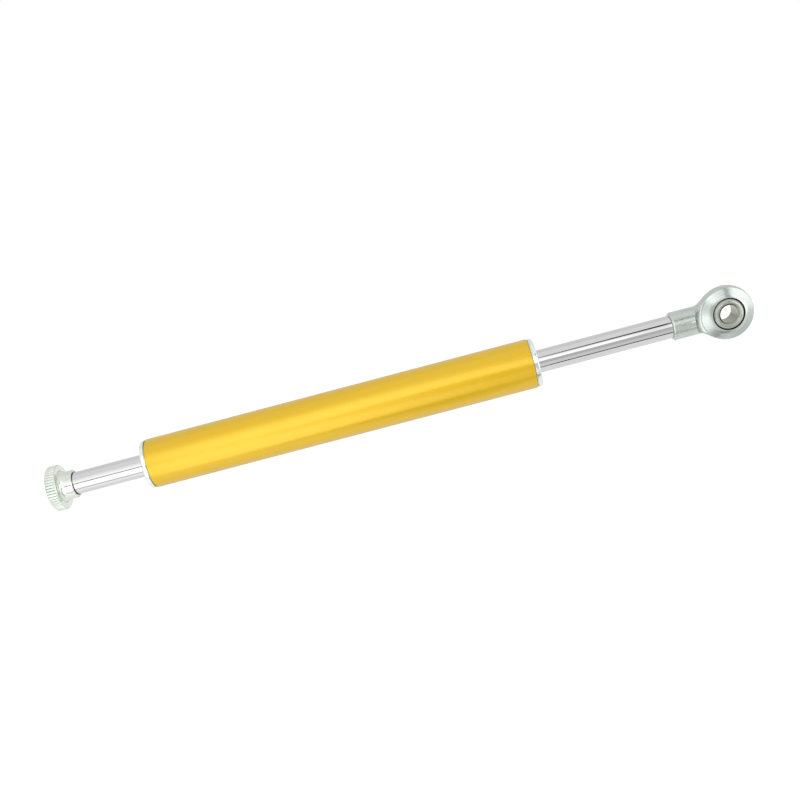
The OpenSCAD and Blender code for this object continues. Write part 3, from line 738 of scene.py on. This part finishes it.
# Colours, as red, green and blue of linear light
WHITE = (1.0, 1.0, 1.0)
GOLD_DARK = (0.72, 0.445, 0.0)
GOLD_LIGHT = (0.79, 0.495, 0.0)
# Painted shade on the tube's chamfered ends, beside the caps
GOLD_END_SHADE = (0.36, 0.27, 0.03)
GOLD_SHEEN = (0.4, 0.5, 0.2)
CHROME_DARK = (0.62, 0.62, 0.63)
CHROME_LIGHT = (0.67, 0.67, 0.67)
ZINC_DARK = (0.485, 0.535, 0.49)
ZINC_LIGHT = (0.61, 0.66, 0.615)
FACED_STEEL = (0.54, 0.58, 0.55)
RACE_LIGHT = (0.58, 0.62, 0.59)
BALL_DARK = (0.395, 0.41, 0.36)
BALL_LIGHT = (0.50, 0.52, 0.465)
# Painted shade in the ball's bore
BORE_SHADE = (0.30, 0.31, 0.245)
# Painted shade in the gap where the ball meets the race
GAP_SHADE = (0.10, 0.10, 0.09)
# Painted shade in the knurl's grooves and in the cove, where the cutter's marks are darker too
SHADE_AND_MARK_GREY = (0.30, 0.34, 0.31)
KNOB_DARK = (0.65, 0.70, 0.63)
KNOB_LIGHT = (0.76, 0.81, 0.74)
RUBBER_DARK = (0.008, 0.008, 0.009)
RUBBER_LIGHT = (0.02, 0.02, 0.021)
PLASTIC_DARK = (0.70, 0.68, 0.61)
PLASTIC_LIGHT = (0.78, 0.76, 0.70)
PAPER_DARK = (0.95, 0.95, 0.95)
PAPER_LIGHT = (0.98, 0.98, 0.98)

# Turning marks to the millimetre along the rod and about the eye, and how fine they break up
LATHE_RINGS = 6.0
EYE_RINGS = 5.0
RING_DETAIL = 4.0

# Widths over which one finish runs into the next, and the reaches of the painted shade
END_SHADE_WIDTH = 0.5
FADE = 0.4
HEAD_FADE = 1.5
GAP_SHADE_DEPTH = 0.2
GAP_SHADE_FADE = 0.05
KNURL_FADE = 0.1
TOOTH_TOP = 0.06
GROOVE_SHADE_END = 0.2


def turned_metal(name, light, dark, ring_depth, roughness):
    """Bare metal with the fine rings that a lathe leaves: noise along station + radius gives rings on
    cylinders and on faces alike, in the bump, the gloss and faintly in the colour."""
    paint = Finish(name)
    place = paint.place()
    x, y, z = paint.split(place)
    radius = (y * y + z * z) ** 0.5
    rings = paint.rings(x + radius, LATHE_RINGS, RING_DETAIL)
    smudge = paint.noise(place, per_mm=0.12, detail=3.0)
    return paint.surface(
        Base_Color=paint.tint(smudge * 0.6 + rings * 0.4, rgb(*dark), rgb(*light)),
        Metallic=1.0,
        Roughness=roughness + 0.08 * (smudge - 0.5) + 0.06 * rings,
        Normal=paint.bump(rings, ring_depth),
    )


def gold_anodising():
    """Satin gold anodising on a drawn tube: a dyed layer, half matt, under a clear gloss, with fine
    etched grain, faint lines along the draw and painted shade on the chamfered ends."""
    paint = Finish("gold_anodised")
    place = paint.place()
    x, _, _ = paint.split(place)
    grain = paint.noise(place, per_mm=9.0, detail=2.0)
    draw_lines = paint.noise(paint.stretched(place, (0.02, 2.5, 2.5)), per_mm=1.0, detail=3.0)
    cloud = paint.noise(place, per_mm=0.05, detail=2.0)
    dye = paint.tint(cloud * 0.5 + draw_lines * 0.5, rgb(*GOLD_DARK), rgb(*GOLD_LIGHT))
    # Painted shade on the tube's chamfered ends
    edge = paint.ramp(x * x, (tube_end - END_SHADE_WIDTH) ** 2, (tube_end - END_SHADE_WIDTH / 2) ** 2)
    return paint.surface(
        Base_Color=paint.tint(edge, dye, rgb(*GOLD_END_SHADE)),
        Metallic=0.5,
        Specular_IOR_Level=0.0,
        Specular_Tint=rgb(*GOLD_SHEEN),
        Roughness=0.3 + 0.08 * draw_lines + 0.03 * grain,
        Coat_Weight=1.0,
        Coat_Roughness=0.18,
        Coat_IOR=1.53,
        Normal=paint.bump(grain * 0.5 + draw_lines * 0.5, depth_mm=0.004),
    )


def hard_chrome():
    """Ground and hard chromed steel: a mirror with hardly visible grinding rings and a few dull
    smears."""
    paint = Finish("hard_chrome")
    place = paint.place()
    x, _, _ = paint.split(place)
    grinding = paint.rings(x, per_mm=8.0, detail=3.0)
    smear = paint.noise(paint.stretched(place, (0.1, 0.6, 0.6)), per_mm=1.0, detail=3.0)
    return paint.surface(
        Base_Color=paint.tint(smear, rgb(*CHROME_DARK), rgb(*CHROME_LIGHT)),
        Metallic=1.0,
        Roughness=0.05 + 0.05 * smear,
        Normal=paint.bump(grinding, depth_mm=0.0004),
    )


def zinc_plate():
    """Bright zinc plate. The head is turned about the eye, so it has rings there; the shank is left as
    forged, with pits and low lumps; the cove between them has painted shade and the cutter's rings."""
    paint = Finish("zinc_plated_steel")
    place = paint.place((eye_x, 0, 0))
    x, y, z = paint.split(place)
    from_eye = (x * x + z * z) ** 0.5
    facing_end = facing_r + FACING_OVER
    faced = paint.fall(from_eye, facing_end - FADE, facing_end)
    turned_part = paint.fall(from_eye, head_r, head_r + HEAD_FADE)
    rings = paint.rings(from_eye - y, EYE_RINGS, RING_DETAIL)
    flattened = paint.stretched(place, (1.0, 0.5, 0.5))
    lumps = paint.noise(flattened, per_mm=0.9, detail=4.0, roughness=0.6)
    pits = paint.noise(place, per_mm=3.5, detail=3.0, roughness=0.6)
    forged = lumps * 0.7 + pits * 0.3
    height = turned_part * rings * 0.045 + (1 - turned_part) * forged * 0.5
    cloud = paint.noise(place, per_mm=0.25, detail=3.0)
    plain = paint.tint(cloud, rgb(*ZINC_DARK), rgb(*ZINC_LIGHT))
    cove_end = facing_r + FACING_COVE
    past_facing = paint.ramp(from_eye, facing_r, facing_r + FADE)
    before_shank = paint.fall(from_eye, cove_end - FADE, cove_end)
    off_rim = paint.ramp(y * y, facing_rim**2, (facing_rim + FADE) ** 2)
    in_cove = past_facing * before_shank * off_rim
    # Painted shade over the whole cove, with the cutter's rings darker on top of it
    cove_marks_and_shade = in_cove * (0.35 + 0.5 * paint.rings(from_eye, per_mm=1.5, detail=2.0))
    marked_and_shaded = paint.tint(cove_marks_and_shade, plain, rgb(*SHADE_AND_MARK_GREY))
    return paint.surface(
        Base_Color=paint.tint(faced, marked_and_shaded, rgb(*FACED_STEEL)),
        Metallic=1.0,
        Roughness=0.17 + 0.04 * faced + 0.08 * pits * (1 - faced) + 0.04 * cloud,
        Normal=paint.bump(height, depth_mm=0.3),
    )


def eye_steel(name, dark, light, ring_depth):
    """Ground steel about the eye, in rings, with painted shade in the bore and in the gap where the
    ball meets the race."""
    paint = Finish(name)
    place = paint.place((eye_x, 0, 0))
    x, y, z = paint.split(place)
    from_eye = (x * x + z * z) ** 0.5
    rings = paint.rings(from_eye - y, EYE_RINGS, RING_DETAIL)
    cloud = paint.noise(place, per_mm=0.4, detail=3.0)
    in_bore = paint.fall(from_eye, BALL_BORE_R + BALL_EDGE, BALL_BORE_R + BALL_CHAMFER)
    # Painted shade in the gap where the ball meets the race: sunk below the face, inside the race's mouth
    sunk = paint.fall(y * y, (head_half - GAP_SHADE_DEPTH) ** 2, head_half**2)
    in_mouth = paint.fall(from_eye, mouth_of_race_r - GAP_SHADE_FADE, mouth_of_race_r + GAP_SHADE_FADE)
    gap_shade = sunk * in_mouth * (1 - in_bore)
    steel = paint.tint(cloud, rgb(*dark), rgb(*light))
    # Painted shade down the ball's bore and its chamfer
    bore_shaded = paint.tint(in_bore, steel, rgb(*BORE_SHADE))
    return paint.surface(
        Base_Color=paint.tint(gap_shade, bore_shaded, rgb(*GAP_SHADE)),
        Metallic=1.0,
        Roughness=0.17 + 0.06 * cloud + 0.04 * rings + 0.25 * gap_shade,
        Normal=paint.bump(rings, ring_depth),
    )


def knurled_aluminium():
    """Polished aluminium of the knob, a little duller than the caps, with painted shade down in the
    knurl's grooves."""
    paint = Finish("knurled_aluminium")
    place = paint.place()
    x, y, z = paint.split(place)
    radius = (y * y + z * z) ** 0.5
    rings = paint.rings(x + radius, LATHE_RINGS, RING_DETAIL)
    smudge = paint.noise(place, per_mm=0.3, detail=3.0)
    root_r = knob_r - KNURL_DEPTH
    on_knurl = paint.ramp(radius, root_r - KNURL_FADE, root_r)
    # Painted shade down in the knurl's grooves, fading out before the disc's inner chamfer
    groove = on_knurl * paint.fall(radius, root_r, knob_r - TOOTH_TOP)
    groove_shade = groove * paint.fall(x, disc_in - DISC_CHAMFER, disc_in - GROOVE_SHADE_END)
    clean = paint.tint(smudge * 0.6 + rings * 0.4, rgb(*KNOB_DARK), rgb(*KNOB_LIGHT))
    return paint.surface(
        Base_Color=paint.tint(groove_shade * 0.6, clean, rgb(*SHADE_AND_MARK_GREY)),
        Metallic=1.0,
        Roughness=0.13 + 0.06 * smudge + 0.2 * on_knurl,
        Normal=paint.bump(rings, depth_mm=0.006),
    )


def black_rubber():
    """Oiled black seal rubber: fine grain, with duller and glossier patches."""
    paint = Finish("black_rubber")
    place = paint.place()
    grain = paint.noise(place, per_mm=6.0, detail=3.0)
    oil = paint.noise(place, per_mm=0.4, detail=2.0)
    return paint.surface(
        Base_Color=paint.tint(oil, rgb(*RUBBER_DARK), rgb(*RUBBER_LIGHT)),
        Roughness=0.3 + 0.3 * oil + 0.1 * grain,
        Normal=paint.bump(grain, depth_mm=0.01),
    )


def slide_plastic():
    """Moulded white bearing plastic with a faint grain."""
    paint = Finish("slide_plastic")
    place = paint.place()
    grain = paint.noise(place, per_mm=4.0, detail=3.0)
    return paint.surface(
        Base_Color=paint.tint(grain, rgb(*PLASTIC_DARK), rgb(*PLASTIC_LIGHT)),
        Roughness=0.4 + 0.15 * grain,
        Normal=paint.bump(grain, depth_mm=0.008),
    )


# Turned metals: light colour, dark colour, depth of the rings in millimetres and roughness
TURNED_METALS = {
    "polished_aluminium": ((0.84, 0.89, 0.84), (0.74, 0.80, 0.75), 0.006, 0.13),
    "bearing_steel": ((0.50, 0.50, 0.47), (0.42, 0.42, 0.39), 0.003, 0.15),
    "spring_steel": ((0.22, 0.22, 0.24), (0.13, 0.13, 0.15), 0.004, 0.28),
    "bronze": ((0.52, 0.30, 0.09), (0.40, 0.22, 0.06), 0.006, 0.25),
    "needle_brass": ((0.66, 0.45, 0.13), (0.54, 0.35, 0.09), 0.005, 0.2),
}

FINISHES = {
    "gold_anodised": gold_anodising(),
    "hard_chrome": hard_chrome(),
    "zinc_plated_steel": zinc_plate(),
    "black_rubber": black_rubber(),
    "slide_plastic": slide_plastic(),
    **{name: turned_metal(name, *looks) for name, looks in TURNED_METALS.items()},
}


def dress_nodes():
    """Gives every CAD node the finish of its slot."""
    for part in frame["record"]["subparts"]:
        for slot in frame["nodes"][part["node"]].material_slots:
            slot.material = FINISHES[part["material_slot"]]


def fit(piece, body, slot, node, finish=None):
    """Hangs a piece on its body in place of a CAD node, with its slot's finish or one of its own."""
    piece.data.materials.clear()
    piece.data.materials.append(finish or FINISHES[slot])
    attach(piece, body)
    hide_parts(node)


dress_nodes()
fit(barrel_tube(), "barrel", "gold_anodised", "barrel_tube")
for end, side in (("front", 1), ("rear", -1)):
    cap = end_cap(f"polished_{end}_cap", side, f"{end}_cap_o_ring", f"{end}_bush_circlip")
    fit(cap, "barrel", "polished_aluminium", f"{end}_end_cap")
    fit(wiper(f"rubber_{end}_wiper", side), "barrel", "black_rubber", f"{end}_wiper")
fit(piston_rod(), "rod", "hard_chrome", "piston_rod")
fit(adjuster_knob(), "knob", "polished_aluminium", "adjuster_knob", knurled_aluminium())
fit(rod_end_housing(), "rod", "zinc_plated_steel", "rod_end_housing")
race_finish = eye_steel("race_steel", FACED_STEEL, RACE_LIGHT, ring_depth=0.005)
fit(rod_end_race(), "rod", "bearing_steel", "rod_end_race", race_finish)
ball_finish = eye_steel("ball_steel", BALL_DARK, BALL_LIGHT, ring_depth=0.02)
fit(rod_end_ball(), "ball", "bearing_steel", "rod_end_ball", ball_finish)

# Studio: a pale floor under a white sky, with light and dark cards on a cylinder about the rod
CARD_R = 350.0
FLOOR_GAP = 2.0
FLOOR_Z = -CARD_R - FLOOR_GAP
FLOOR_HALF = 6000.0
# Light of the floor where it is seen, and that light's share beside its paper
FLOOR_LIGHT = 1.06
FLOOR_SHARE = 0.6

# Places along X where the cards begin and end
CARD_LEFT = -450.0
ROD_X = -185.0
LINE_START = 105.0
SHEET_END = 118.0
HALO_END = 125.0
SIDE_SHEET_X = 265.0
SIDE_X = 345.0
BACK_RIGHT = 600.0
CARD_RIGHT = 1500.0
# Points up a card, and points along the cards of each group
CARD_ROWS = 9
LEFT_COLUMNS = 31
RIGHT_COLUMNS = 61
SIDE_COLUMNS = 21
BACK_COLUMNS = 41
# Elevations in degrees that cards share, or that a card lies about
SHEET_FOOT = -82
PANEL_TOP = 37
LINE_ELEVATION = 50
# Lights, where 1 is white
PANEL_LIGHT = 2.1
DARK = 0.05

# Cards for the left part of the rod: low edge, high edge and light
LEFT_CARDS = {
    "left_panel": (-41, 7.5, 1.65),
    "left_line": (7.5, 13.5, DARK),
    "left_strip": (-53, -47, 0.6),
    "left_sheet": (SHEET_FOOT, -53, 1.22),
    "left_halo_low": (13.5, 34, 1.42),
    "left_halo_high": (34, 46, 1.25),
    "left_halo_top": (46, 56, 1.12),
}
# Cards above the upper panel: low edge, high edge, light and its change
HALO_CARDS = {
    "halo_low": (PANEL_TOP, 46, 2.0, (1.75, 20, 80)),
    "halo_high": (46, 56, 1.55, (1.3, 20, 80)),
    "halo_top": (56, 66, 1.2, (1.05, 20, 80)),
}
# Cards behind the object: low edge, high edge and light
BACK_CARDS = {
    "back_panel": (105, 164, 0.87),
    "back_line": (166, 172, 0.4),
    "back_strip": (222, 230, 0.5),
}

# Camera: place in millimetres, then azimuth, elevation and roll in degrees, lens and sensor
CAMERA_PLACE = (40.05, -426.3, 115.3)
CAMERA_ANGLES = (-1.78, 15.24, 15.22)
CAMERA_LENS = 45.0
CAMERA_SENSOR = 36.0


def glow(name, light, changes):
    """A card's white light, where 1 is white. Each change gives the next light and the two places
    along X between which it is reached."""
    paint = Finish(name)
    x, _, _ = paint.split(paint.place())
    colour = rgb(light, light, light)
    for following, begin, end in changes:
        colour = paint.tint(paint.ramp(x, begin, end), colour, rgb(following, following, following))
    paint.end(paint.node("ShaderNodeEmission", sockets={"Color": colour}))
    return paint.material


def card(name, across, low, high, light, *changes):
    """A card that shows in reflections only, on a cylinder about the rod, as a grid over its place
    along X and its elevation: point = (x, -R * cos(elevation), R * sin(elevation)). Its low and high
    edges are elevations in degrees, up from straight before the object and beyond 90 behind it."""
    steps = np.linspace(0, 1, CARD_ROWS)
    low, high = (np.broadcast_to(edge, across.shape)[:, None] for edge in (low, high))
    elevation = np.radians(low * (1 - steps) + high * steps)
    x = np.broadcast_to(across[:, None], elevation.shape)
    points = np.stack([x, -CARD_R * np.cos(elevation), CARD_R * np.sin(elevation)], -1)
    ids = np.arange(x.size).reshape(x.shape)
    quads = np.stack([ids[:-1, :-1], ids[1:, :-1], ids[1:, 1:], ids[:-1, 1:]], -1).reshape(-1, 4)
    made = solid(name, points.reshape(-1, 3), [quads])
    made.data.materials.append(glow(name, light, changes))
    made.visible_camera = False
    made.visible_diffuse = False
    made.visible_shadow = False


def edge_line(across, *corners):
    """A card's edge as straight runs through corners, each a place along X and an elevation in degrees.
    Between two corners the elevation changes evenly with the place, and beyond the last it stays."""
    places, elevations = zip(*corners)
    return np.interp(across, places, elevations)


def floor():
    """A wide flat floor that shows as white to the eye and in the metal, less the shade that falls on
    it."""
    corners = np.array([(-1, -1), (1, -1), (1, 1), (-1, 1)]) * FLOOR_HALF
    points = np.concatenate([corners, np.full((4, 1), FLOOR_Z)], axis=1)
    made = solid("floor", points, [np.array([[0, 1, 2, 3]])])
    paint = Finish("floor_paper")
    fibre = paint.noise(paint.place(), per_mm=0.5, detail=2.0)
    paper_colour = paint.tint(fibre, rgb(*PAPER_DARK), rgb(*PAPER_LIGHT))
    paper = paint.node("ShaderNodeBsdfDiffuse", sockets={"Color": paper_colour})
    light = paint.node("ShaderNodeEmission", sockets={"Color": rgb(*WHITE), "Strength": FLOOR_LIGHT})
    camera_ray = paint.node("ShaderNodeLightPath", output="Is Camera Ray")
    seen = camera_ray + camera_ray.beside("Is Glossy Ray") + camera_ray.beside("Is Transmission Ray")
    paint.end(paint.node("ShaderNodeMixShader", sockets={0: seen * FLOOR_SHARE, 1: paper, 2: light}))
    made.data.materials.append(paint.material)


def right_cards():
    """The cards from the gold to the rod end. Two soft panels lie one above the other, with a grey
    wedge between them that opens to the right. Below them are a darker strip and a pale sheet, and
    above them are the halos and, over the right part of the rod, a dark line."""
    right = np.linspace(ROD_X, SIDE_X, RIGHT_COLUMNS)
    wedge_foot = edge_line(right, (-150, 6), (0, -8), (116, -14))
    wedge_top = edge_line(right, (-60, 12.5), (0, 15), (40, 18), (90, 18), (125, 12.5))
    strip = edge_line(right, (-33, -56), (112, -55), (138, -47.7))
    strip_half = edge_line(right, (-70, 1), (20, 8), (60, 11), (108, 11), (128, 4.7))
    strip_foot = strip - strip_half
    strip_top = strip + strip_half
    panel_foot = np.maximum(strip_top, edge_line(right, (-120, -51), (-60, -46), (-20, -42)))
    upper_light = (1.95, 20, 80), (1.55, 118, 142), (1.15, 185, 230), (2.1, 233, 241), (0.35, 252, 270)
    card("upper_panel", right, wedge_top, PANEL_TOP, PANEL_LIGHT, *upper_light)
    card("wedge", right, wedge_foot, wedge_top, 1.8, (1.2, -110, -20), (0.65, -15, 70))
    lower_light = (1.5, -60, 22), (0.9, 45, 95), (0.8, 120, 230)
    card("lower_panel", right, panel_foot, wedge_foot, PANEL_LIGHT, *lower_light)
    strip_light = (0.38, 20, 60), (0.62, 70, 112), (DARK, 114, 140), (0.75, 235, 300)
    card("lower_strip", right, strip_foot, strip_top, 0.5, *strip_light)
    under_gold = right < SHEET_END
    sheet_light = (1.0, -60, 10), (0.72, 20, 60), (1.0, 75, 112)
    card("lower_sheet", right[under_gold], SHEET_FOOT, strip_foot[under_gold], 1.15, *sheet_light)
    over_gold = right[right < HALO_END]
    for name, looks in HALO_CARDS.items():
        card(name, over_gold, *looks)
    over_rod = right[right > LINE_START]
    line_half = edge_line(over_rod, (110, 0.5), (141, 3.2), (193, 5.5), (233, 8))
    line_foot = LINE_ELEVATION - line_half
    line_top = LINE_ELEVATION + line_half
    card("right_line", over_rod, line_foot, line_top, DARK, (1.0, 234, 240), (DARK, 252, 262))


def studio():
    """The white sky, the floor and the cards: those for the left part of the rod, those from the gold
    to the rod end, a panel and a sheet further right, and behind the object a panel between two
    darker strips."""
    world = bpy.data.worlds.new("sky")
    world.use_nodes = True
    world.node_tree.nodes["Background"].inputs["Color"].default_value = rgb(*WHITE)
    bpy.context.scene.world = world

    left = np.linspace(CARD_LEFT, ROD_X, LEFT_COLUMNS)
    for name, looks in LEFT_CARDS.items():
        card(name, left, *looks)
    right_cards()
    side = np.linspace(SIDE_X, CARD_RIGHT, SIDE_COLUMNS)
    card("side_panel", side, -27, 52, 1.8, (1.5, 600, 900))
    under_side = np.concatenate([[SIDE_SHEET_X], side])
    card("side_sheet", under_side, -88, -55, 1.0, (0.82, SIDE_SHEET_X, 300))
    back = np.linspace(CARD_LEFT, BACK_RIGHT, BACK_COLUMNS)
    for name, looks in BACK_CARDS.items():
        card(name, back, *looks)
    floor()


def aim_camera():
    """The camera at the photograph's viewing angle: turned about Z, tilted down, then rolled about its
    own axis."""
    azimuth, elevation, roll = (math.radians(angle) for angle in CAMERA_ANGLES)
    eye = bpy.data.cameras.new("camera")
    eye.lens = CAMERA_LENS
    eye.sensor_width = CAMERA_SENSOR
    camera = bpy.data.objects.new("camera", eye)
    bpy.context.scene.collection.objects.link(camera)
    camera.matrix_world = (
        Matrix.Translation(Vector(CAMERA_PLACE) * MM)
        @ Matrix.Rotation(-azimuth, 4, "Z")
        @ Matrix.Rotation(math.pi / 2 - elevation, 4, "X")
        @ Matrix.Rotation(-roll, 4, "Z")
    )
    bpy.context.scene.camera = camera


studio()
aim_camera()
bpy.context.scene.view_settings.view_transform = "Standard"
